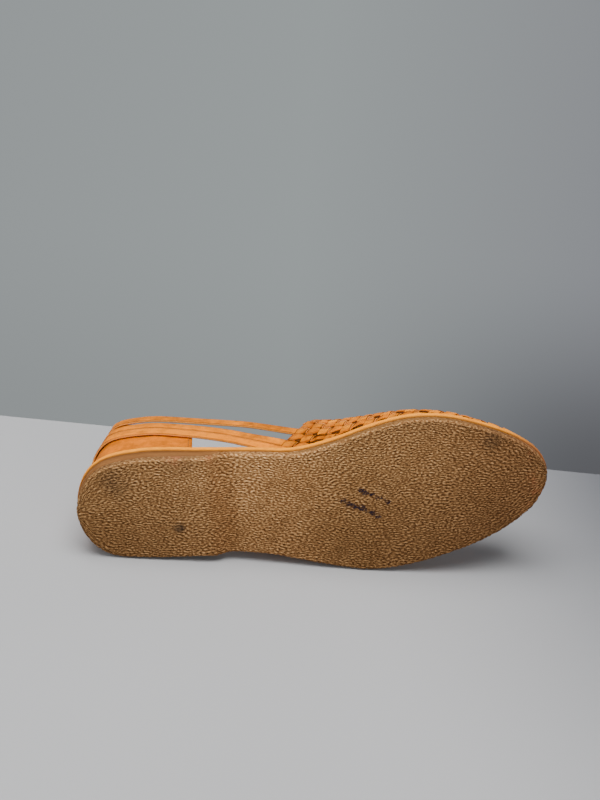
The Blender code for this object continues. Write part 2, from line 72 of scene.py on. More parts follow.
ROWS_PER_SIDE = 11.5
CROSS_PITCH = 0.0074
SWEEP = 0.031
SWEEP_GIRTH = 0.085
ARCH_FLARE = 0.011
SIDE_FLARE = 0.002
STRAP_SHARE = 0.93
TOE_MARGIN = 0.003
COUNTER_LENGTH = 0.071
COUNTER_HEIGHT = 0.050
COUNTER_FRONT = 0.0165
COUNTER_INSET = 0.0030
COUNTER_LEAN = 0.0020
HEEL_LEAN = 0.0170
STRAP_CLEAR = 0.0005

# What only the looks need
HEEL_MOUNT_X = 0.040
STRIP_THICK = 0.0014
STRIP_LEVEL = -0.0006
STRIP_SWING = 0.0010
STRIP_GAP = 0.00028
FACE_LENGTH = 0.00095
NARROWEST = 0.002
TIP_MARGIN = 0.0006
FOLD_RADIUS, TUCK = 0.0009, 0.004
ON_VAMP = (0.004, 0.0)
STRAP_STATIONS, SPAN_POINTS = 22, 7
PROBE = 0.01
CREPE_RELIEF = 0.00075
RIDGE_LONG, RIDGE_WIDE = 0.0026, 0.00150
WAVES = 56
SMOOTH_FROM, SMOOTH_TO, SMOOTH_OVER = 0.118, 0.240, 0.025
END_ROWS = 8
TIP_TURN, WEDGE_TURN = 0.035, 0.05
LAYER_CLEAR = 0.0001
PANEL_STATIONS = 46
STITCHES, STITCH_START, STITCH_PITCH = 7, 0.0016, 0.0023
STITCH_INSET, STITCH_LIFT = 0.0022, 0.0001
STITCH_LENGTH, STITCH_RADIUS = 0.0015, 0.00028

# Rounded edges: how far in from the edge and off the flat face each ring lies
TREAD_CORNER = ((0.0009, 0), (0.0003, 0.0004), (0, 0.0009))
BOARD_CORNER = ((0.0006, 0), (0.00018, 0.00018), (0, 0.0006))
SHEET_CORNER = ((0.0006, 0), (0.0002, 0.0002), (0, 0.0006))

OUTLINE = (
    # station, lateral, medial
    (0.00, 0.030, -0.030),
    (0.02, 0.322, 0.238),
    (0.06, 0.479, 0.394),
    (0.14, 0.545, 0.460),
    (0.26, 0.571, 0.443),
    (0.38, 0.535, 0.374),
    (0.46, 0.531, 0.319),
    (0.54, 0.542, 0.342),
    (0.62, 0.562, 0.404),
    (0.70, 0.543, 0.452),
    (0.78, 0.487, 0.436),
    (0.86, 0.413, 0.355),
    (0.93, 0.314, 0.248),
    (0.98, 0.192, 0.118),
    (1.00, 0.022, -0.022),
)
WAIST_START, WAIST_END = 0.25, 0.62
THROAT = 0.5246
RIDGE = (
    # station, height
    (0.330, 1.60),
    (0.430, 1.27),
    (0.530, 1.00),
    (0.610, 0.83),
    (0.690, 0.69),
    (0.770, 0.585),
    (0.850, 0.50),
    (0.915, 0.415),
    (0.962, 0.30),
    (0.990, 0.15),
    (1.000, 0.00),
)
SHOULDER = 0.62
SIDE_RISE = 0.42
ARCH_STATION, ARCH_SPREAD = 0.43, 0.13
LOW_WAY = ((0.366, 0.145), (0.334, 0.22), (0.30, 0.285), (0.25, 0.36), (0.18, 0.425), (0.0, 0.50))
TOP_WAY = ((0.372, 0.62), (0.334, 0.665), (0.30, 0.70), (0.25, 0.75), (0.18, 0.81), (0.0, 0.905))
STRAPS = {
    # name: strip, way, steps above it
    "low": (0, LOW_WAY, 0),
    "middle": (1, LOW_WAY, 1),
    "top": (3, TOP_WAY, 0),
}
STRAP_STEP = 1.08

# Marks on the tread, upright x and y in metres
PEN_STROKES = (
    # from x, y, to x, y, half width
    (0.1575, 0.0052, 0.1790, 0.0172, 0.0021),
    (0.1684, -0.0014, 0.1860, 0.0080, 0.0016),
)
DIRT_SPOTS = (
    # x, y, radius, strength
    (0.0600, 0.0166, 0.0050, 2.20),
    (0.0270, -0.0165, 0.0150, 0.55),
    (0.0640, -0.0260, 0.0140, 0.35),
    (0.2480, -0.0270, 0.0090, 0.45),
)

# The camera: its place in metres, its angles in degrees and its lens in pixels of the photo
CAMERA_PLACE = (-0.083669, -0.704227, 0.460247)
AZIMUTH, ELEVATION, ROLL = 5.8398, 27.1885, 6.1136
LENS_PIXELS, PHOTO_WIDTH, SENSOR_WIDTH = 1324.8, 600, 36


# Shapes


def smoothstep(t):
    t = np.clip(t, 0, 1)
    return t * t * (3 - 2 * t)


def smooth_curve(points, per_span=12, closed=False):
    """Points on a centripetal Catmull-Rom curve through the given ones."""
    p = np.asarray(points, float)
    if closed:
        p = np.vstack([p[-1], p, p[:2]])
    else:
        p = np.vstack([2 * p[0] - p[1], p, 2 * p[-1] - p[-2]])
    found = []
    for a, b, c, d in zip(p, p[1:], p[2:], p[3:]):
        t1 = math.sqrt(np.linalg.norm(b - a))
        t2 = t1 + math.sqrt(np.linalg.norm(c - b))
        t3 = t2 + math.sqrt(np.linalg.norm(d - c))
        t = np.linspace(t1, t2, per_span, endpoint=False)[:, None]
        ab = a + (b - a) * t / t1
        bc = b + (c - b) * (t - t1) / (t2 - t1)
        cd = c + (d - c) * (t - t2) / (t3 - t2)
        abc = ab + (bc - ab) * t / t2
        bcd = bc + (cd - bc) * (t - t1) / (t3 - t1)
        found.append(abc + (bcd - abc) * (t - t1) / (t2 - t1))
    if not closed:
        found.append(p[-2:-1])
    return np.vstack(found)


def arc_lengths(points):
    steps = np.linalg.norm(np.diff(points, axis=0), axis=1)
    return np.concatenate([[0], np.cumsum(steps)])


def local_width(station):
    blend = smoothstep((station - WAIST_START) / (WAIST_END - WAIST_START))
    return HEEL_WIDTH + (BALL_WIDTH - HEEL_WIDTH) * blend


def sole_outline():
    lateral = [(s * SOLE_LENGTH, lat * local_width(s)) for s, lat, _ in OUTLINE]
    medial = [(s * SOLE_LENGTH, -med * local_width(s)) for s, _, med in OUTLINE[1:-1]]
    return smooth_curve(lateral + medial[::-1], closed=True)


def offset_curve(curve, distance):
    """A closed curve moved outwards by a distance."""
    along = np.roll(curve, -1, axis=0) - np.roll(curve, 1, axis=0)
    outward = np.stack([-along[:, 1], along[:, 0]], axis=1)
    outward /= np.linalg.norm(outward, axis=1)[:, None]
    return curve + outward * distance


class Plan:
    """The sole's outline moved outwards by a distance, as two edges over the stations."""

    def __init__(self, offset):
        curve = offset_curve(sole_outline(), offset)
        first, last = np.argmin(curve[:, 0]), np.argmax(curve[:, 0])
        curve = np.roll(curve, -first, axis=0)
        last = (last - first) % len(curve)
        self.lateral = curve[: last + 1]
        self.medial = np.vstack([curve[last:], curve[:1]])[::-1]
        self.back, self.front = curve[0], curve[last]

    def y(self, x, side):
        edge = self.lateral if side > 0 else self.medial
        return np.interp(x, edge[:, 0], edge[:, 1])

    def rim(self, shares, side):
        """Points (x, y) on an edge, at shares of the way from the back to the front."""
        x = self.back[0] + shares * (self.front[0] - self.back[0])
        return np.stack([x, self.y(x, side)], axis=1)


def seat(x):
    """Height of the midsole's underside."""
    s = x / SOLE_LENGTH
    heel = 1 - smoothstep((s - 0.12) / 0.48)
    toe = np.clip((s - 0.74) / 0.26, 0, 1) ** 2
    return TREAD_THICK + LIFT_THICK * heel + TOE_SPRING * toe


def midsole_top(x):
    return seat(x) + MIDSOLE_THICK


def tread_top(x):
    """The crepe lies flat under the heel lift, then climbs to the midsole."""
    climb = smoothstep((x - LIFT_FRONT) / LIFT_RAMP)
    return TREAD_THICK - GAP + (seat(x) - TREAD_THICK) * climb


def tread_bottom(x):
    return tread_top(x) + GAP - TREAD_THICK


def flare(x, side):
    """How far a section's side leans out past the feather edge. It's most over the medial arch."""
    arch = math.exp(-(((x / SOLE_LENGTH - ARCH_STATION) / ARCH_SPREAD) ** 2))
    return SIDE_FLARE + (ARCH_FLARE * arch if side < 0 else ARCH_FLARE * 0.25 * arch)


class LastSurface:
    """The vamp's base surface, over its own flat pattern.

    s is the distance along the ridge from the throat to the toe, and q the distance from the ridge
    down a side, positive to the lateral side. Crosswise strips sweep back as they go down.
    """

    STATIONS = 150
    ARC_STEPS = 90

    def __init__(self):
        self.plan = Plan(-WELT)
        length = self.plan.front[0]
        ridge = smooth_curve([(s * length, h * INSTEP_HEIGHT) for s, h in RIDGE], 16)
        along = arc_lengths(ridge)
        along -= np.interp(THROAT * SOLE_LENGTH, ridge[:, 0], along)
        bunched = 1 - (1 - np.linspace(0, 1, self.STATIONS)) ** 1.5
        self.s = along[0] + (along[-1] - along[0]) * bunched
        self.x = np.interp(self.s, along, ridge[:, 0])
        self.rise = np.interp(self.s, along, ridge[:, 1])
        sides = [self.section_table(side) for side in (-1, 1)]
        self.reach = max(girths.max() for _, girths in sides) * 1.05
        self.q = np.linspace(0, self.reach, self.ARC_STEPS)
        self.tables, self.girths = {}, {}
        for side, (curves, girths) in zip((-1, 1), sides):
            self.tables[side] = np.array([self.resample(c) for c in curves])
            self.girths[side] = girths

    def section(self, x, rise, side):
        """A cross-section from the ridge to the feather edge, as points (y, height)."""
        middle = self.plan.front[1]
        reach = abs(self.plan.y(x, side) - middle)
        out = flare(x, side) * min(1, rise / (0.3 * INSTEP_HEIGHT))
        a, b = (0, rise), (SHOULDER * reach, rise)
        c, d = (reach + out, SIDE_RISE * rise), (reach, 0)
        t = np.linspace(0, 1, 40)[:, None]
        y_and_h = (1 - t) ** 3 * a + 3 * t * (1 - t) ** 2 * b + 3 * t * t * (1 - t) * c + t**3 * d
        return np.stack([middle + side * y_and_h[:, 0], y_and_h[:, 1]], axis=1)

    def section_table(self, side):
        curves = [self.section(x, h, side) for x, h in zip(self.x, self.rise)]
        return curves, np.array([arc_lengths(c)[-1] for c in curves])

    def resample(self, curve):
        """The curve at each arc step, run straight on past its end."""
        along = arc_lengths(curve)
        past = np.clip(self.q - along[-1], 0, None)[:, None]
        end = curve[-1] - curve[-2]
        end = end / max(np.linalg.norm(end), 1e-9)
        inside = [np.interp(self.q, along, curve[:, k]) for k in (0, 1)]
        return np.stack(inside, axis=1) + past * end

    def girth(self, s, side):
        return np.interp(s, self.s, self.girths[side])

    def base(self, s, q):
        """Points on the surface for arrays of pattern places, before any sweep."""
        x = np.interp(s, self.s, self.x)
        row = np.interp(s, self.s, np.arange(len(self.s)))
        column = np.clip(np.abs(q) / self.q[1], 0, len(self.q) - 1.001)
        r, c = np.minimum(row.astype(int), len(self.s) - 2), column.astype(int)
        u, v = (row - r)[:, None], (column - c)[:, None]
        both = []
        for side in (-1, 1):
            t = self.tables[side]
            near = t[r, c] * (1 - v) + t[r, c + 1] * v
            far = t[r + 1, c] * (1 - v) + t[r + 1, c + 1] * v
            both.append(near * (1 - u) + far * u)
        y_and_h = np.where((q < 0)[:, None], both[0], both[1])
        return np.stack([x, y_and_h[:, 0], midsole_top(x) + y_and_h[:, 1]], axis=1)

    def at(self, s, q):
        return self.base(s - SWEEP * (q / SWEEP_GIRTH) ** 2, q)

    def normal(self, s, q):
        """The outward direction, taken a little inside the feather edge, where the surface is smooth."""
        step, margin = 0.2 * TOE_MARGIN, 0.4 * TOE_MARGIN
        unswept = np.minimum(s - SWEEP * (q / SWEEP_GIRTH) ** 2, self.s[-1] - TOE_MARGIN)
        side_girth = np.where(q < 0, self.girth(unswept, -1), self.girth(unswept, 1))
        q = np.clip(q, margin - side_girth, side_girth - margin)
        along = self.base(unswept + step, q) - self.base(unswept - step, q)
        across = self.base(unswept, q + step) - self.base(unswept, q - step)
        n = np.cross(along, across)
        return n / np.linalg.norm(n, axis=1)[:, None]

    def feather(self, side):
        """The pattern's edge along the sole, as places (s, q)."""
        edge = self.s + SWEEP * (self.girths[side] / SWEEP_GIRTH) ** 2
        return np.stack([edge, side * self.girths[side]], axis=1)

    def feather_girth(self, s, side):
        """The pattern's half width from the ridge to the sole, along a swept line."""
        edge = self.feather(side)
        return np.interp(s, edge[:, 0], np.abs(edge[:, 1]))

    def feather_reach(self, q):
        """Where a lengthwise line meets the sole, for distances q from the ridge."""
        ends = []
        for side in (-1, 1):
            edge = self.feather(side)[::-1]
            ends.append(np.interp(np.abs(q), np.abs(edge[:, 1]), edge[:, 0]))
        return np.where(q < 0, ends[0], ends[1])

    def rear_girth(self, side):
        return float(self.feather_girth(0, side))

    def rows(self):
        """The lengthwise strips' edges, from the medial to the lateral feather edge."""
        steps = np.arange(ROWS_PER_SIDE % 1, ROWS_PER_SIDE + 0.01)
        medial, lateral = (self.rear_girth(side) / ROWS_PER_SIDE for side in (-1, 1))
        return np.concatenate([-steps[::-1] * medial, steps * lateral])


def counter_inset(height, backward):
    """How far the counter's outer face stands in from the midsole's edge, at a height above it.

    The sides bulge a little and lean in, and the more the face looks backward, from 0 to 1, the more it
    leans forward.
    """
    share = min(height / COUNTER_HEIGHT, 1)
    lean = COUNTER_LEAN * (share**2 - 0.5 * math.sin(math.pi * share))
    return COUNTER_INSET + lean + HEEL_LEAN * backward**2 * share**1.5


class HeelSurface:
    """The counter's outer face, round the back of the sole's outline."""

    def __init__(self):
        outline, moved = Plan(0), sole_outline()
        outward = offset_curve(moved, 1) - moved
        self.halves = {}
        for side, edge in ((1, outline.lateral), (-1, outline.medial)):
            nearest = [np.argmin(np.sum((moved - p) ** 2, axis=1)) for p in edge]
            self.halves[side] = (edge, arc_lengths(edge), outward[nearest])

    def point(self, station, side, height, outward):
        """A point at a station and a height above the midsole, moved outwards from the face."""
        edge, along, facing = self.halves[side]
        place = np.interp(station * SOLE_LENGTH, edge[:, 0], along)
        xy = np.array([np.interp(place, along, edge[:, k]) for k in (0, 1)])
        out = np.array([np.interp(place, along, facing[:, k]) for k in (0, 1)])
        out /= np.linalg.norm(out)
        xy = xy + out * (outward - counter_inset(height, max(-out[0], 0)))
        return np.array([xy[0], xy[1], midsole_top(max(xy[0], 0)) + height])


def heel_stations(count):
    """Stations from the counter's front edge to the back, closer together round the heel."""
    front = math.acos(1 - 2 * COUNTER_LENGTH / SOLE_LENGTH)
    return [(1 - math.cos(turn)) / 2 for turn in np.linspace(front, 0, count)]


LAST = LastSurface()
HEEL = HeelSurface()


# Meshes


def lying_turn():
    """How the upright shoe lies in the CAD model, from the record's mounts on the two flat treads."""
    mounts = {mount["name"]: mount for mount in frame["record"]["mounts"]}
    heel, ball = (np.array(mounts[name]["pos_m"]) for name in ("heel_tread", "forefoot_tread"))
    up = -np.array(mounts["heel_tread"]["axis"])
    up /= np.linalg.norm(up)
    forward = ball - heel
    forward -= up * (up @ forward)
    forward /= np.linalg.norm(forward)
    turn = np.stack([forward, np.cross(up, forward), up], axis=1)
    return turn, heel - forward * HEEL_MOUNT_X


TURN, ORIGIN = lying_turn()


def lay_down(points):
    return points @ TURN.T + ORIGIN


def placed(name, bm, material):
    """The mesh as an object in the scene."""
    mesh = bpy.data.meshes.new(name)
    bm.to_mesh(mesh)
    bm.free()
    mesh.materials.append(material)
    made = bpy.data.objects.new(name, mesh)
    bpy.context.scene.collection.objects.link(made)
    return made


def finished(name, bm, material):
    """The mesh as a piece of the shoe, with its faces turned outwards."""
    bmesh.ops.recalc_face_normals(bm, faces=bm.faces)
    piece = placed(name, bm, material)
    piece.data.shade_smooth()
    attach(piece, "root")
    return piece


def net(bm, places, pattern, tones):
    """Adds a net of faces through a grid of upright points.

    pattern is each point's own length-and-width place, which becomes the UV map, and tones are further
    numbers for the materials, by name.
    """
    rows, columns = places.shape[:2]
    uv = bm.loops.layers.uv.get("UVMap") or bm.loops.layers.uv.new("UVMap")
    kept = bm.verts.layers.float
    for name in tones:
        if kept.get(name) is None:
            kept.new(name)
    # Looked up once all are there, because a new layer makes earlier ones stale
    layers = {name: kept.get(name) for name in tones}
    made = bmesh.ops.create_grid(bm, x_segments=rows - 1, y_segments=columns - 1, size=0.5)["verts"]
    laid = lay_down(places.reshape(-1, 3)).reshape(places.shape)
    for v in made:
        i, j = round((v.co.x + 0.5) * (rows - 1)), round((v.co.y + 0.5) * (columns - 1))
        for face_corner in v.link_loops:
            face_corner[uv].uv = pattern[i, j]
        for name, values in tones.items():
            v[layers[name]] = values[i, j]
        v.co = laid[i, j]
    return made


def between(first, last, shares):
    """Rows of points, each from its first point across to its last one."""
    shares = shares[None, :, None]
    return first[:, None] * (1 - shares) + last[:, None] * shares


def close_tube(bm, made):
    """Welds a net's seam and fills its two open ends."""
    bmesh.ops.remove_doubles(bm, verts=made, dist=1e-6)
    rim = [e for e in bm.edges if e.is_boundary]
    if rim:
        bmesh.ops.holes_fill(bm, edges=rim, sides=0)


def strip(bm, middle, outward, across, width, thick, tone, start=0.0, rises=None):
    """Adds a leather strip with softly rounded edges.

    middle holds the points of its middle layer, one row along for each place and one across for each
    number in across, which runs from -0.5 to 0.5. outward is the way its grain side looks there.
    """
    # Its edges round over within 0.45 thicknesses, and keep 0.55 of the thickness as a cut face
    edge = np.clip((0.5 - np.abs(across)) * width / (0.45 * thick), 0, 1)
    rise = 0.5 * thick * (0.55 + 0.45 * np.sqrt(1 - (1 - edge) ** 2))
    top = middle + outward * rise[None, :, None]
    under = middle - outward * rise[None, :, None]
    places = np.concatenate([top, under[:, ::-1], top[:, :1]], axis=1)
    centre = middle[:, len(across) // 2]
    along = start + arc_lengths(centre)
    wide = np.concatenate([across, across[::-1], across[:1]]) * width
    pattern = np.stack(np.broadcast_arrays(along[:, None], wide[None, :]), axis=-1)
    cut = (np.abs(wide) > 0.4999 * width).astype(float)
    rises = np.ones(len(middle)) if rises is None else rises
    tones = {
        "tone": np.full(places.shape[:2], tone),
        "cut": np.broadcast_to(cut, places.shape[:2]),
        "edge": np.broadcast_to(np.abs(wide) / width * 2, places.shape[:2]),
        "rise": np.broadcast_to(rises[:, None], places.shape[:2]),
    }
    made = net(bm, places, pattern, tones)
    close_tube(bm, made)


# Materials


class Value:
    """A number that a material works out: sums on it become Math nodes."""

    def __init__(self, look, socket):
        self.look, self.socket = look, socket

    def sum(self, operation, *others):
        values = {k: v for k, v in enumerate((self, *others))}
        return self.look.node("Math", "Value", {"operation": operation}, values)

    def __add__(self, other):
        return self.sum("ADD", other)

    def __sub__(self, other):
        return self.sum("SUBTRACT", other)

    def __rsub__(self, other):
        return self.look.node("Math", "Value", {"operation": "SUBTRACT"}, {0: other, 1: self})

    def __mul__(self, other):
        return self.sum("MULTIPLY", other)

    def __truediv__(self, other):
        return self.sum("DIVIDE", other)

    def __pow__(self, other):
        return self.sum("POWER", other)

    def least(self, other):
        return self.sum("MINIMUM", other)

    def most(self, other):
        return self.sum("MAXIMUM", other)

    def step(self, low, high):
        """Smoothly from 0 at low to 1 at high."""
        settings = {"interpolation_type": "SMOOTHSTEP"}
        names = {"Value": self, "From Min": low, "From Max": high, "To Min": 0.0, "To Max": 1.0}
        return self.look.node("MapRange", "Result", settings, names)

    __radd__ = __add__
    __rmul__ = __mul__


class Look:
    """A material of one Principled shader, built up node by node."""

    def __init__(self, name, **constants):
        self.material = bpy.data.materials.new(name)
        self.material.use_nodes = True
        self.tree = self.material.node_tree
        self.shader = self.tree.nodes["Principled BSDF"]
        for socket, value in constants.items():
            self.shader.inputs[socket.replace("_", " ")].default_value = value

    def node(self, kind, output, settings=None, sockets=None):
        """Makes a shader node with its settings first, then its sockets, and hands back one output."""
        made = self.tree.nodes.new("ShaderNode" + kind)
        for name, value in (settings or {}).items():
            if name == "stops":
                self.set_stops(made.color_ramp, value)
            else:
                setattr(made, name, value)
        for name, value in (sockets or {}).items():
            self.feed(made.inputs[name], value)
        return Value(self, made.outputs[output])

    def set_stops(self, ramp, stops):
        while len(ramp.elements) < len(stops):
            ramp.elements.new(0.5)
        for element, (position, colour) in zip(ramp.elements, stops):
            element.position = position
            element.color = (*colour, 1)

    def feed(self, socket, value):
        if isinstance(value, Value):
            self.tree.links.new(value.socket, socket)
        elif isinstance(value, tuple) and len(value) == 3 and socket.type == "RGBA":
            socket.default_value = (*value, 1)
        else:
            socket.default_value = value

    def set(self, **sockets):
        for name, value in sockets.items():
            self.feed(self.shader.inputs[name.replace("_", " ")], value)

    def place(self):
        return self.node("TexCoord", "Object")

    def tone(self, name):
        return self.node("Attribute", "Fac", {"attribute_name": name})

    def split(self, vector):
        x = self.node("SeparateXYZ", "X", None, {"Vector": vector})
        return [Value(self, x.socket.node.outputs[axis]) for axis in "XYZ"]

    def pattern(self):
        """The piece's own length and width place, in metres."""
        return self.split(self.node("UVMap", "UV", {"uv_map": "UVMap"}))[:2]

    def noise(self, where, scale, detail=3.0, rough=0.55):
        sockets = {"Vector": where, "Scale": scale, "Detail": detail, "Roughness": rough}
        return self.node("TexNoise", "Fac", None, sockets)

    def stretched(self, where, factors):
        return self.node("Mapping", "Vector", None, {"Vector": where, "Scale": factors})

    def ramp(self, value, stops):
        return self.node("ValToRGB", "Color", {"stops": stops}, {"Fac": value})

    def blend(self, share, first, second, mode="MIX"):
        settings = {"data_type": "RGBA", "blend_type": mode}
        return self.node("Mix", 2, settings, {0: share, 6: first, 7: second})

    def bump(self, height, distance, strength=1.0, under=None):
        sockets = {"Height": height, "Distance": distance, "Strength": strength}
        if under is not None:
            sockets["Normal"] = under
        return self.node("Bump", "Normal", None, sockets)


def near(x, y, spot):
    """1 in the middle of a round spot on the tread, falling to 0 at its rim."""
    sx, sy, radius, strength = spot
    dx, dy = x - sx, y - sy
    away = (dx * dx + dy * dy) ** 0.5
    return (1 - away.step(radius * 0.25, radius)) * strength


def pen_stroke(x, y, stroke, wobble):
    """1 on a stroke of the pen, with a ragged rim."""
    ax, ay, bx, by, half = stroke
    length = math.hypot(bx - ax, by - ay)
    ux, uy = (bx - ax) / length, (by - ay) / length
    px, py = x - ax, y - ay
    along = (px * ux + py * uy).most(0.0).least(length)
    dx, dy = px - along * ux, py - along * uy
    away = (dx * dx + dy * dy) ** 0.5 + wobble
    return 1 - away.step(half * 0.45, half)


def crepe_look():
    """Brown crepe, pale on its ridges and dark in its creases, partly from wear and partly as painted shade,
    with painted shade that makes it darkest at the toe and along the lateral edge.
    """
    look = Look("worn_crepe_with_painted_shade", Roughness=0.88, Specular_IOR_Level=0.15)
    x, y = look.pattern()
    where = look.place()
    relief = look.tone("relief")
    grit = look.noise(look.stretched(where, (0.7, 1.0, 1.0)), 1150, 3, 0.6)
    patches = look.noise(where, 34, 4, 0.6)
    height = relief * 0.64 + grit * 1.7 - 0.65
    # Paler on the ridges and darker in the creases: partly wear, partly painted shade of the wrinkles.
    stops = (
        (0.05, (0.145, 0.050, 0.012)),
        (0.32, (0.310, 0.148, 0.053)),
        (0.60, (0.500, 0.262, 0.101)),
        (0.90, (0.880, 0.520, 0.232)),
    )
    colour = look.ramp(height, stops)
    # Painted shade along the sole: brightest a third of the way along, darker at the heel, darkest at the
    # toe.
    uneven_tone = (
        (0.00, (0.60, 0.59, 0.56)),
        (0.18, (0.69, 0.68, 0.66)),
        (0.36, (1.00, 1.00, 1.00)),
        (0.45, (0.94, 0.93, 0.92)),
        (0.57, (0.72, 0.71, 0.68)),
        (0.74, (0.66, 0.64, 0.62)),
        (0.92, (0.52, 0.48, 0.46)),
    )
    colour = look.blend(1.0, colour, look.ramp(x / SOLE_LENGTH, uneven_tone), "MULTIPLY")
    # Painted shade: darker towards the lateral edge.
    lateral = (y / BALL_WIDTH + 0.5).step(0.08, 1.00)
    colour = look.blend(lateral * 0.85, colour, (0.50, 0.47, 0.44), "MULTIPLY")
    colour = look.blend(patches.step(0.35, 0.75) * 0.30, colour, (0.66, 0.56, 0.42), "MULTIPLY")
    # Painted shade on the heel breast, where the crepe climbs from the heel lift to the waist.
    ramp_end = LIFT_FRONT + LIFT_RAMP
    painted_shade_on_breast = x.step(LIFT_FRONT - 0.004, LIFT_FRONT + 0.004)
    painted_shade_on_breast = painted_shade_on_breast * (1 - x.step(ramp_end - 0.001, ramp_end + 0.007))
    colour = look.blend(painted_shade_on_breast * 0.40, colour, (0.68, 0.56, 0.45), "MULTIPLY")
    colour = look.blend(look.tone("wall") * 0.8, colour, (0.46, 0.42, 0.38), "MULTIPLY")
    cut_side = look.ramp(grit, ((0.3, (0.115, 0.052, 0.015)), (0.7, (0.225, 0.108, 0.034))))
    colour = look.blend(look.tone("smooth"), colour, cut_side)
    dirt = reduce(Value.most, [near(x, y, spot) for spot in DIRT_SPOTS])
    dirt = dirt * patches.step(0.25, 0.6)
    colour = look.blend(dirt, colour, (0.055, 0.030, 0.016))
    wobble = (look.noise(where, 420, 4) - 0.5) * 0.0085
    ink = reduce(Value.most, [pen_stroke(x, y, stroke, wobble) for stroke in PEN_STROKES])
    ink = ink * height.step(0.20, 0.50) * look.noise(where, 260, 3).step(0.34, 0.52)
    colour = look.blend(ink, colour, (0.020, 0.012, 0.020))
    heel_edge = x.step(0.040, 0.052) * (1 - x.step(0.078, 0.088)) * (1 - y.step(-0.031, -0.022))
    scuff = x.step(0.262, 0.282).most(heel_edge)
    scuff = scuff * look.noise(where, 90, 4, 0.7).step(0.48, 0.66)
    colour = look.blend(scuff * 0.6, colour, (0.36, 0.105, 0.045))
    look.set(Base_Color=colour, Normal=look.bump(grit, 0.00045, 0.8))
    return look.material


def lift_look():
    look = Look("brown_lift", Roughness=0.7, Specular_IOR_Level=0.12)
    where = look.place()
    smear = look.noise(look.stretched(where, (0.35, 1.0, 1.0)), 160, 4, 0.6)
    colour = look.ramp(smear, ((0.25, (0.150, 0.058, 0.015)), (0.75, (0.228, 0.096, 0.029))))
    look.set(Base_Color=colour, Normal=look.bump(look.noise(where, 900, 3), 0.00012, 0.6))
    return look.material


def midsole_look():
    look = Look("pale_midsole", Roughness=0.65, Specular_IOR_Level=0.12, Specular_Tint=(1.0, 0.70, 0.35, 1.0))
    where = look.place()
    level = look.tone("level")
    fibre = look.noise(look.stretched(where, (0.30, 1.0, 0.6)), 900, 4, 0.65)
    stains = look.noise(where, 60, 4, 0.6)
    colour = look.ramp(fibre, ((0.25, (0.66, 0.185, 0.002)), (0.75, (1.0, 0.385, 0.016))))
    colour = look.blend(stains.step(0.5, 0.8) * 0.45, colour, (0.66, 0.44, 0.26), "MULTIPLY")
    x, _ = look.pattern()
    seam = level.step(0.88, 1.0) * 0.5 + (1 - level.step(0.12, 0.42)) * 0.85
    colour = look.blend(seam, colour, (0.20, 0.075, 0.016))
    colour = look.blend(x.step(0.255, 0.278) * 0.75, colour, (0.24, 0.085, 0.035))
    look.set(Base_Color=colour, Normal=look.bump(fibre, 0.00015, 0.7))
    return look.material


def strap_look(name, low, high, cut_colour, line):
    """Tan leather: each strip has a shade of its own, darker near its edges, partly burnish and partly
    painted shade, and pale on the cut.

    line is how dark the painted shadow line lies along the very edge.
    """
    look = Look(name, Specular_IOR_Level=0.18, Specular_Tint=(1.0, 0.56, 0.18, 1.0))
    where = look.place()
    tone, edge, cut, rise = (look.tone(n) for n in ("tone", "edge", "cut", "rise"))
    mottle = look.noise(where, 150, 5, 0.65)
    cloud = look.noise(where, 34, 3, 0.5)
    pores = look.node("TexVoronoi", "Distance", None, {"Vector": where, "Scale": 2300.0})
    wrinkle = look.noise(look.stretched(where, (0.55, 1.0, 1.0)), 620, 4, 0.62)
    shade = mottle * 1.45 + cloud * 1.10 + wrinkle * 0.45 + tone * 0.45 - 1.20
    colour = look.ramp(shade, ((0.15, low), (0.85, high)))
    # Painted shade where the strip dips under a crossing strip.
    painted_shade_in_dips = 1 - rise.step(0.20, 0.95)
    colour = look.blend(painted_shade_in_dips * 0.85, colour, (0.70, 0.52, 0.34), "MULTIPLY")
    # Darker towards the edges: partly burnish, partly painted shade.
    burnish_and_painted_shade = edge.step(0.70, 0.98) * (0.45 + cloud * 0.5)
    colour = look.blend(burnish_and_painted_shade, colour, (0.42, 0.24, 0.12), "MULTIPLY")
    # A painted shadow line along the very edge, darkest on the crosswise strips.
    painted_shadow_line = edge.step(0.97 - line * 0.15, 1.02 - line * 0.10) * line
    colour = look.blend(painted_shadow_line, colour, (0.040, 0.008, 0.0007))
    colour = look.blend(cut, colour, cut_colour)
    # Painted shade where the strip lies hidden under a crossing strip.
    painted_shade_under_crossing = 1 - rise.step(-0.30, 0.06)
    colour = look.blend(painted_shade_under_crossing, colour, (0.060, 0.013, 0.001))
    rough = 0.34 + mottle * 0.26 + cut * 0.25
    skin = look.bump(pores, 0.00008, 0.5)
    skin = look.bump(wrinkle, 0.00030, 0.55, skin)
    look.set(Base_Color=colour, Roughness=rough, Normal=skin)
    return look.material


def insole_look():
    look = Look("insole_leather", Roughness=0.6, Specular_IOR_Level=0.35)
    where = look.place()
    uneven_tone = look.noise(where, 40, 4, 0.6)
    colour = look.ramp(uneven_tone, ((0.3, (0.26, 0.075, 0.012)), (0.7, (0.42, 0.14, 0.028))))
    look.set(Base_Color=colour, Normal=look.bump(look.noise(where, 1200, 3), 0.0001, 0.6))
    return look.material


def thread_look():
    look = Look("waxed_thread", Roughness=0.5)
    where = look.place()
    colour = look.ramp(look.noise(where, 800, 2), ((0.3, (0.10, 0.045, 0.018)), (0.7, (0.19, 0.09, 0.035))))
    look.set(Base_Color=colour)
    return look.material


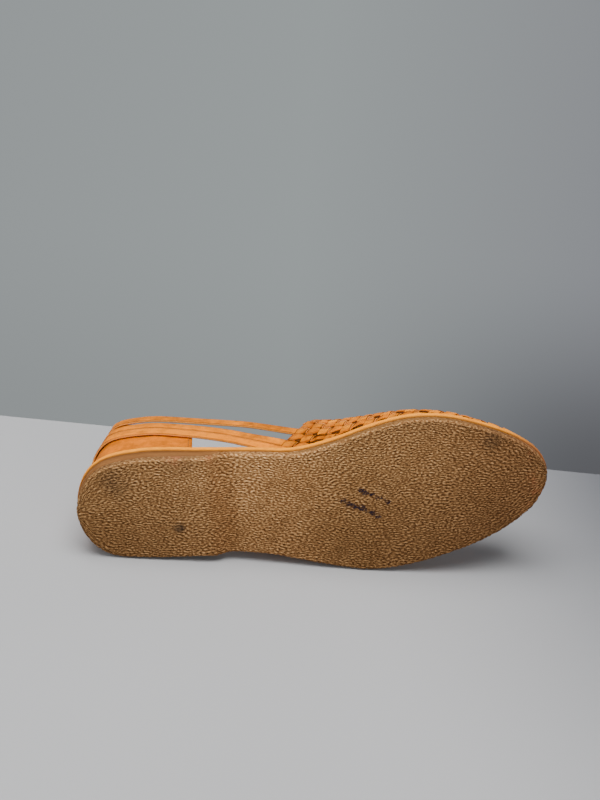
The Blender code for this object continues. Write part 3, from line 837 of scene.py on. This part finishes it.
def floor_look():
    """Pale paint, with painted shade that darkens it towards the right, and most of all at the right end of
    the back edge.
    """
    look = Look("floor_paint", Roughness=0.6, Specular_IOR_Level=0.2)
    where = look.place()
    x, y, _ = look.split(where)
    # Painted shadow: darker towards the right, and more so towards the back edge.
    painted_stage_shade = x.step(0.02, 0.36) * (0.42 + y.step(-0.30, 0.10) * 0.78)
    stops = (
        (0.3, (0.335, 0.338, 0.349)),
        (0.7, (0.355, 0.358, 0.371)),
    )
    tint = look.ramp(look.noise(where, 3, 2, 0.4), stops)
    look.set(Base_Color=look.blend(painted_stage_shade, tint, (0.05, 0.055, 0.07)))
    return look.material


def backdrop_look():
    """A grey that glows of itself as painted light, evenly but for painted shade that darkens it towards the
    right, and most of all low on the right.
    """
    look = Look("backdrop_grey", Roughness=1.0, Specular_IOR_Level=0, Emission_Strength=1.0)
    look.set(Base_Color=(0.02, 0.02, 0.02))
    x, _, z = look.split(look.place())
    stops = (
        # Painted shade: the glow falls off towards the right.
        (0.00, (0.316, 0.343, 0.350)),
        (0.45, (0.335, 0.368, 0.372)),
        (0.95, (0.255, 0.264, 0.288)),
    )
    tint = look.ramp((x + 0.6) / 1.8, stops)
    # Painted shade, low on the right.
    low = 1 - z.step(-1.45, -0.75)
    painted_stage_shade = low * (0.14 + x.step(0.20, 1.15) * 0.60)
    look.set(Emission_Color=look.blend(painted_stage_shade, tint, (0.05, 0.05, 0.055)))
    return look.material


# The sole


def layer(name, material, rings, rows, across, crepe=False):
    """A layer of the sole, from its rings: (offset from the outline, height over x), bottom to top.

    The crepe has even rows for its wrinkles, with closer ones at both ends.
    """
    shares = (1 - np.cos(np.linspace(TIP_TURN, math.pi - TIP_TURN, rows))) / 2
    above = across
    if crepe:
        even = np.linspace(0, 1, rows - 2 * END_ROWS)
        end = even[1] * np.linspace(0.06, 1, END_ROWS + 1)[:-1] ** 2
        shares = np.concatenate([end, even[1:-1], 1 - end[::-1]])
        above = 4
    sides = {1: [], -1: []}
    for offset, height in rings:
        plan = Plan(offset)
        for side, found in sides.items():
            rim = plan.rim(shares, side)
            found.append(np.column_stack([rim, height(rim[:, 0])]))
    lateral, medial = sides[1], sides[-1]
    bottom = between(medial[0], lateral[0], np.linspace(0, 1, across))
    top = between(lateral[-1], medial[-1], np.linspace(0, 1, above))
    rise = np.stack(lateral[1:-1], axis=1)
    fall = np.stack(medial[-2:0:-1], axis=1)
    places = np.concatenate([bottom, rise, top, fall, bottom[:, :1]], axis=1)
    climb, descent = np.linspace(0, 1, len(rings))[1:-1], np.linspace(1, 0, len(rings))[1:-1]
    levels = np.concatenate([np.zeros(across), climb, np.ones(above), descent, [0]])
    pattern = places[:, :, :2].copy()
    tones = {"level": np.broadcast_to(levels, places.shape[:2])}
    if crepe:
        steps = len(climb)
        side = np.zeros(places.shape[1])
        side[across : across + steps], side[-steps - 1 : -1] = 1, -1
        places, further = wrinkled(places, side, levels, shares)
        tones.update(further)
    bm = bmesh.new()
    close_tube(bm, net(bm, places, pattern, tones))
    return finished(name, bm, material)


def wrinkled(places, side, levels, shares):
    """Moves the crepe's points out and in by its wrinkles, and works out its tones.

    side says for each column of points whether it's on the lateral edge, 1, on the medial one, -1, or
    on a flat face, 0. The edges of the waist and ball are cut smooth above their tread.
    """
    x, y, z = (places[:, :, k] for k in range(3))
    relief = crepe_relief(x, y + side * (z - z[:, :1]))
    out = np.zeros_like(places)
    out[:, side == 0, 2] = -1
    for sign in (1, -1):
        moved = Plan(0.001).rim(shares, sign) - Plan(0).rim(shares, sign)
        moved /= np.linalg.norm(moved, axis=1)[:, None]
        out[:, side == sign, :2] = moved[:, None]
    smooth = smoothstep((x - SMOOTH_FROM) / SMOOTH_OVER) * smoothstep((SMOOTH_TO - x) / SMOOTH_OVER)
    smooth = smooth * smoothstep((levels - 0.30) / 0.2) * (side != 0)
    showing = (levels < 0.8) * (1 - 0.9 * smooth)
    wall = np.broadcast_to(smoothstep((levels - 0.12) / 0.3) * (side != 0), places.shape[:2])
    places = places + out * ((relief - 0.5) * CREPE_RELIEF * showing)[:, :, None]
    return places, {"relief": relief, "smooth": smooth, "wall": wall}


def crepe_relief(x, y):
    """The crepe's worm-like wrinkles, 0 in the creases and 1 on the ridges.

    It's a sum of waves in every direction, of about equal length, but longer along the shoe.
    """
    picks = random.Random(5)
    drift_x = 0.0016 * np.sin(x * 95 + y * 60 + 1) + 0.0011 * np.sin(y * 210 - x * 40)
    drift_y = 0.0014 * np.sin(x * 120 - y * 75) + 0.0008 * np.sin(x * 260 + y * 190 + 2)
    total = np.zeros(x.shape)
    for k in range(WAVES):
        turn = math.pi * (k + picks.random()) / WAVES
        size = picks.gauss(1, 0.22)
        along = 2 * math.pi / (RIDGE_LONG * size) * math.cos(turn)
        across = 2 * math.pi / (RIDGE_WIDE * size) * math.sin(turn)
        total += np.cos(along * (x + drift_x) + across * (y + drift_y) + picks.uniform(0, 7))
    return 0.5 + 0.5 * np.tanh(total * math.sqrt(2 / WAVES) * 1.05)


def rounded(edge, corner, face, up):
    """Rings round a corner, from the flat face out to the edge: up is 1 for an underside, -1 for a top."""
    return [(edge - inward, lambda x, off=off: face(x) + up * off) for inward, off in corner]


def make_sole():
    crepe, lift, pale, inner = crepe_look(), lift_look(), midsole_look(), insole_look()
    edge = -TREAD_INSET
    corner = TREAD_CORNER[-1][1]
    wall = TREAD_THICK - GAP - corner
    rings = rounded(edge, TREAD_CORNER, tread_bottom, 1)
    rings += [(edge, lambda x, k=k: tread_bottom(x) + corner + k * wall) for k in (0.2, 0.4, 0.6, 0.8)]
    rings += [(edge, tread_top)]
    tread = layer("crepe_tread", crepe, rings, 326, 286, True)
    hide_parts("outsole")

    def wedge_low(x):
        return tread_top(x) + LAYER_CLEAR

    def wedge_high(x):
        return seat(x) - LAYER_CLEAR

    front = LIFT_FRONT + 0.75 * LIFT_RAMP
    wedge = layer_part("heel_wedge", lift, edge + LAYER_CLEAR, wedge_low, wedge_high, front)
    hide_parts("heel_lift")

    rings = rounded(0, BOARD_CORNER, seat, 1)
    rings += [(0, lambda x, k=k: seat(x) + k * MIDSOLE_THICK) for k in (0.35, 0.5, 0.65)]
    rings += rounded(0, BOARD_CORNER, midsole_top, -1)[::-1]
    midsole = layer("midsole_board", pale, rings, 260, 24)
    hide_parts("midsole")

    def insole_top(x):
        return midsole_top(x) + GAP + INSOLE_THICK

    edge = -(WELT + WALL + INSOLE_CLEAR)
    rings = [(edge, lambda x: midsole_top(x) + LAYER_CLEAR)]
    rings += rounded(edge, SHEET_CORNER, insole_top, -1)[::-1]
    insole = layer("insole_sheet", inner, rings, 200, 30)
    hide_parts("insole")


def layer_part(name, material, offset, low, high, front):
    """A layer that ends in a feather edge across the sole, at x = front."""
    plan = Plan(offset)
    turn = np.linspace(WEDGE_TURN, math.pi / 2, 110)
    x = plan.back[0] + (front - plan.back[0]) * (1 - np.cos(turn))
    faces = []
    for level in (low, high):
        medial, lateral = (np.stack([x, plan.y(x, side), level(x)], axis=1) for side in (-1, 1))
        faces.append(between(medial, lateral, np.linspace(0, 1, 20)))
    under, over = faces
    middle = under * 0.5 + over * 0.5
    ring = [under, middle[:, -1:], over[:, ::-1], middle[:, :1], under[:, :1]]
    places = np.concatenate(ring, axis=1)
    bm = bmesh.new()
    tones = {"level": np.zeros(places.shape[:2])}
    close_tube(bm, net(bm, places, places[:, :, :2].copy(), tones))
    return finished(name, bm, material)


# The upper

ACROSS = np.array([-0.5, -0.485, -0.455, -0.40, -0.2, 0.0, 0.2, 0.40, 0.455, 0.485, 0.5])


def swing(phase):
    """The weave's rise and fall, a little flatter on top than a plain wave."""
    wave = np.cos(math.pi * phase)
    return wave * (1.28 - 0.28 * wave * wave)


def on_last(s, q, level):
    """Points at a height over the last, and the outward directions there, for grids of s and q."""
    shape = s.shape
    points = LAST.at(s.ravel(), q.ravel())
    normals = LAST.normal(s.ravel(), q.ravel())
    points = points + normals * level.ravel()[:, None]
    points[:, 2] = np.maximum(points[:, 2], midsole_top(points[:, 0]))
    return points.reshape(*shape, 3), normals.reshape(*shape, 3)


def lengthwise(row, edges):
    """A lengthwise strip's middle layer on the vamp, from the throat to the sole at the toe."""
    low, high = edges[row], edges[row + 1]
    width = high - low - 2 * STRIP_GAP
    sole_side = 1 if low + high > 0 else -1
    q = (low + high) / 2 - sole_side * ACROSS * width
    ends = LAST.feather_reach(q)
    t = np.linspace(0, 1, int(ends.mean() / FACE_LENGTH))[:, None]
    s = ends[None, :] * t
    rises = swing(s / CROSS_PITCH - 0.5 + row)
    middle, outward = on_last(s, np.broadcast_to(q, s.shape), STRIP_LEVEL + STRIP_SWING * rises)
    return middle, outward, width, rises[:, len(ACROSS) // 2]


def folded_end(middle, outward):
    """Turns a strip's rear end down round the throat's edge and tucks it under."""
    back = middle[0] - middle[1]
    back /= np.linalg.norm(back, axis=1)[:, None]
    down = -outward[0]
    points, normals = [], []
    for turn in np.linspace(math.radians(200), math.radians(12), 11):
        points.append(middle[0] + FOLD_RADIUS * (back * math.sin(turn) + down * (1 - math.cos(turn))))
        normals.append(-down * math.cos(turn) + back * math.sin(turn))
    tucked = points[0] - back * TUCK
    return (
        np.concatenate([[tucked], points, middle]),
        np.concatenate([[normals[0]], normals, outward]),
    )


def strap_way(name, side):
    """A strap's sections from the throat to the back of the heel: low edge, high edge, a point outside."""
    order, way, steps = STRAPS[name]
    pitch = LAST.rear_girth(side) / ROWS_PER_SIDE
    width = STRAP_SHARE * LAST.rear_girth(-1) / ROWS_PER_SIDE
    q = LAST.rear_girth(side) - (order + 0.5) * pitch
    half = (pitch - 2 * STRIP_GAP) / 2
    sections = []
    for s in ON_VAMP:
        s_pair = np.full((1, 2), s)
        q_pair = side * np.array([[q + half, q - half]])
        points, normals = on_last(s_pair, q_pair, np.full((1, 2), STRIP_LEVEL))
        out = points[0].mean(axis=0) + normals[0].mean(axis=0) * PROBE
        sections.append([points[0, 0], points[0, 1], out])
    stations, heights = np.array(way).T
    for station in list(stations[:3]) + heel_stations(STRAP_STATIONS):
        height = np.interp(station, stations[::-1], heights[::-1]) * COUNTER_HEIGHT
        height += steps * STRAP_STEP * width
        outward = GAP + STRAP_THICK / 2
        low = HEEL.point(station, side, height - width / 2, outward)
        high = HEEL.point(station, side, height + width / 2, outward)
        out = HEEL.point(station, side, height, outward + PROBE)
        sections.append([low, high, out])
    sections = np.array(sections).reshape(-1, 9)
    curve = smooth_curve(sections, SPAN_POINTS)[SPAN_POINTS:]
    return curve.reshape(-1, 3, 3)


def strap_band(name):
    """The whole strap round the heel, from the medial throat to the lateral one."""
    medial, lateral = strap_way(name, -1), strap_way(name, 1)
    ways = np.concatenate([medial, lateral[-2::-1]])
    middle = between(ways[:, 0], ways[:, 1], ACROSS + 0.5)
    centre = middle[:, len(ACROSS) // 2]
    outward = ways[:, 2] - centre
    along = np.gradient(centre, axis=0)
    along /= np.linalg.norm(along, axis=1)[:, None]
    outward -= along * np.sum(along * outward, axis=1)[:, None]
    up = ways[:, 1] - ways[:, 0]
    up /= np.linalg.norm(up, axis=1)[:, None]
    outward -= up * np.sum(up * outward, axis=1)[:, None]
    outward /= np.linalg.norm(outward, axis=1)[:, None]
    return middle, np.repeat(outward[:, None], len(ACROSS), axis=1)


def weave_lengthwise(bm, edges, strapped, picks):
    """The strips that end at the throat."""
    rows = len(edges) - 1
    for row in range(rows):
        if min(row, rows - 1 - row) in strapped:
            continue
        middle, outward, width, rises = lengthwise(row, edges)
        middle, outward = folded_end(middle, outward)
        rises = np.concatenate([np.ones(len(middle) - len(rises)), rises])
        strip(bm, middle, outward, ACROSS, width, STRIP_THICK, picks.random(), row * 0.31, rises)


def weave_straps(bm, edges, strapped, picks):
    """The strips that run on as straps, each from the toe round the heel and back to the toe."""
    rows = len(edges) - 1
    for order, name in strapped.items():
        medial, out_medial, width, rises_medial = lengthwise(order, edges)
        lateral, out_lateral, _, rises_lateral = lengthwise(rows - 1 - order, edges)
        band, out_band = strap_band(name)
        middle = np.concatenate([medial[:0:-1], band, lateral[1:]])
        outward = np.concatenate([out_medial[:0:-1], out_band, out_lateral[1:]])
        rises = np.concatenate([rises_medial[:0:-1], np.ones(len(band)), rises_lateral[1:]])
        strip(bm, middle, outward, ACROSS, width, STRIP_THICK, picks.random(), order * 0.7, rises)


def weave_crosswise(bm, edges, picks):
    """The strips that go from the sole over the ridge and down to the sole."""
    tip = LAST.s[-1] - TIP_MARGIN
    for column in range(int(tip / CROSS_PITCH) + 1):
        low = column * CROSS_PITCH + STRIP_GAP
        high = min((column + 1) * CROSS_PITCH - STRIP_GAP, tip)
        if high - low < NARROWEST:
            continue
        width = high - low
        s = (low + high) / 2 + ACROSS * width
        girths = [LAST.feather_girth(s, side) for side in (-1, 1)]
        steps = int((girths[0].mean() + girths[1].mean()) / FACE_LENGTH)
        t = np.linspace(-1, 1, steps)[:, None]
        q = np.where(t < 0, t * girths[0][None, :], t * girths[1][None, :])
        place = np.interp(q, edges, np.arange(len(edges)))
        rises = swing(place - 0.5 + column + 1)
        middle, outward = on_last(np.broadcast_to(s, q.shape), q, STRIP_LEVEL + STRIP_SWING * rises)
        rises = rises[:, len(ACROSS) // 2]
        strip(bm, middle, outward, ACROSS, width, STRIP_THICK, picks.random(), column * 0.43, rises)


def make_upper(leather, cross_leather):
    picks = random.Random(11)
    edges = LAST.rows()
    strapped = {order: name for name, (order, _, _) in STRAPS.items()}

    bm = bmesh.new()
    weave_lengthwise(bm, edges, strapped, picks)
    weave = finished("lengthwise_strips", bm, leather)
    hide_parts("upper")

    bm = bmesh.new()
    weave_straps(bm, edges, strapped, picks)
    finished("heel_straps", bm, leather)

    bm = bmesh.new()
    weave_crosswise(bm, edges, picks)
    finished("crosswise_strips", bm, cross_leather)


def make_counter(leather, thread):
    """The heel panel, with a line of stitches down each front edge."""
    front = COUNTER_LENGTH / SOLE_LENGTH
    face = GAP - STRAP_CLEAR
    stations = heel_stations(PANEL_STATIONS)
    columns = [(station, -1) for station in stations] + [(station, 1) for station in stations[-2::-1]]
    across = np.concatenate([[-0.5, -0.49, -0.475], np.linspace(-0.45, 0.45, 24), [0.475, 0.49, 0.5]])
    middle, outward = [], []
    for station, side in columns:
        rise = smoothstep(1 - station / front) ** 0.6
        top = COUNTER_FRONT + (COUNTER_HEIGHT - COUNTER_FRONT) * rise
        heights = (across + 0.5) * top
        inner = [HEEL.point(station, side, h, face - COUNTER_THICK / 2) for h in heights]
        outer = [HEEL.point(station, side, h, face) for h in heights]
        middle.append(inner)
        outward.append((np.array(outer) - inner) / (COUNTER_THICK / 2))
    bm = bmesh.new()
    strip(bm, np.array(middle), np.array(outward), across, COUNTER_FRONT * 2, COUNTER_THICK, 0.5)
    counter = finished("heel_panel", bm, leather)
    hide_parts("heel_counter")

    bm = bmesh.new()
    station = (COUNTER_LENGTH - STITCH_INSET) / SOLE_LENGTH
    outside = face + STITCH_LIFT
    for side in (-1, 1):
        for height in STITCH_START + np.arange(STITCHES) * STITCH_PITCH:
            place = HEEL.point(station, side, height, outside)
            ahead = HEEL.point(station, side, height + 0.001, outside) - place
            out = HEEL.point(station, side, height, outside + 0.001) - place
            stitch(bm, place, ahead, out)
    finished("counter_stitches", bm, thread)


def stitch(bm, place, along, out):
    """One stitch: a short rounded bead that lies along a seam."""
    along, out = TURN @ along, TURN @ out
    along /= np.linalg.norm(along)
    out /= np.linalg.norm(out)
    turned = Matrix(np.stack([np.cross(along, out), out, along], axis=1).tolist()).to_4x4()
    size = Matrix.Diagonal((STITCH_RADIUS, STITCH_RADIUS, STITCH_LENGTH / 2, 1))
    where = Matrix.Translation(Vector(lay_down(place[None])[0]))
    bmesh.ops.create_uvsphere(bm, u_segments=8, v_segments=6, radius=1, matrix=where @ turned @ size)


# Stage, light and camera


def make_stage():
    """A pale floor that ends a little behind the shoe, and a grey backdrop far behind its edge.

    The backdrop stands so far off that the shoe can be seen from every side.
    """
    sheets = {
        # name: look, left and right corner near or low, left and right corner far or high
        "studio_floor": (
            floor_look(),
            ((-2.5, -2.5, 0), (2.5, -2.5, 0)),
            ((-2.5, 0.33, 0), (2.5, -0.095, 0)),
        ),
        "studio_backdrop": (
            backdrop_look(),
            ((-5, 2.6, -4), (5, 2.6, -4)),
            ((-5, 2.6, 4), (5, 2.6, 4)),
        ),
    }
    for name, (material, *corners) in sheets.items():
        bm = bmesh.new()
        made = bmesh.ops.create_grid(bm, x_segments=1, y_segments=1, size=1)["verts"]
        for v in made:
            v.co = corners[v.co.y > 0][v.co.x > 0]
        part = placed(name, bm, material)


def area_light(name, place, target, size, power, colour=(1, 1, 1)):
    data = bpy.data.lights.new(name, "AREA")
    data.shape = "RECTANGLE"
    data.size, data.size_y = size
    data.energy = power
    data.color = colour
    light = bpy.data.objects.new(name, data)
    light.location = place
    light.rotation_euler = (Vector(target) - Vector(place)).to_track_quat("-Z", "Y").to_euler()
    bpy.context.scene.collection.objects.link(light)


def make_lights():
    area_light("ceiling_panel", (-0.15, -0.25, 1.5), (0, 0, 0), (1.3, 1.0), 46.5, (1, 0.985, 0.96))
    area_light("front_panel", (0.5, -1.6, 0.9), (0, 0, 0.05), (1.2, 0.8), 8, (1, 0.99, 0.97))
    area_light("left_panel", (-1.3, -0.2, 0.7), (0, 0, 0.05), (0.8, 0.8), 6)
    world = bpy.data.worlds.new("soft_room")
    world.use_nodes = True
    world.node_tree.nodes["Background"].inputs["Color"].default_value = (0.80, 0.84, 0.90, 1)
    world.node_tree.nodes["Background"].inputs["Strength"].default_value = 0.26
    bpy.context.scene.world = world


def make_camera():
    azimuth, elevation, roll = (math.radians(angle) for angle in (AZIMUTH, ELEVATION, ROLL))
    level = math.cos(elevation)
    ahead = np.array([math.sin(azimuth) * level, math.cos(azimuth) * level, -math.sin(elevation)])
    right = np.cross(ahead, [0, 0, 1])
    right /= np.linalg.norm(right)
    up = np.cross(right, ahead)
    right, up = (
        math.cos(roll) * right + math.sin(roll) * up,
        math.cos(roll) * up - math.sin(roll) * right,
    )
    data = bpy.data.cameras.new("camera")
    data.sensor_fit = "HORIZONTAL"
    data.sensor_width = SENSOR_WIDTH
    data.lens = LENS_PIXELS / PHOTO_WIDTH * SENSOR_WIDTH
    camera = bpy.data.objects.new("camera", data)
    turned = Matrix(np.stack([right, up, -ahead], axis=1).tolist()).to_4x4()
    camera.matrix_world = Matrix.Translation(CAMERA_PLACE) @ turned
    bpy.context.scene.collection.objects.link(camera)
    bpy.context.scene.camera = camera


def main():
    cut = (0.74, 0.29, 0.060)
    # The last number of each leather is how dark its painted shadow line along the edges lies.
    strap_leather = strap_look("strap_leather", (0.26, 0.062, 0.0002), (0.78, 0.218, 0.0002), cut, 0.60)
    cross_leather = strap_look("cross_leather", (0.33, 0.080, 0.0002), (0.92, 0.300, 0.0004), cut, 1.0)
    panel_leather = strap_look("panel_leather", (0.24, 0.058, 0.0002), (0.66, 0.166, 0.0002), cut, 0.30)
    make_sole()
    make_upper(strap_leather, cross_leather)
    make_counter(panel_leather, thread_look())
    make_stage()
    make_lights()
    make_camera()


main()
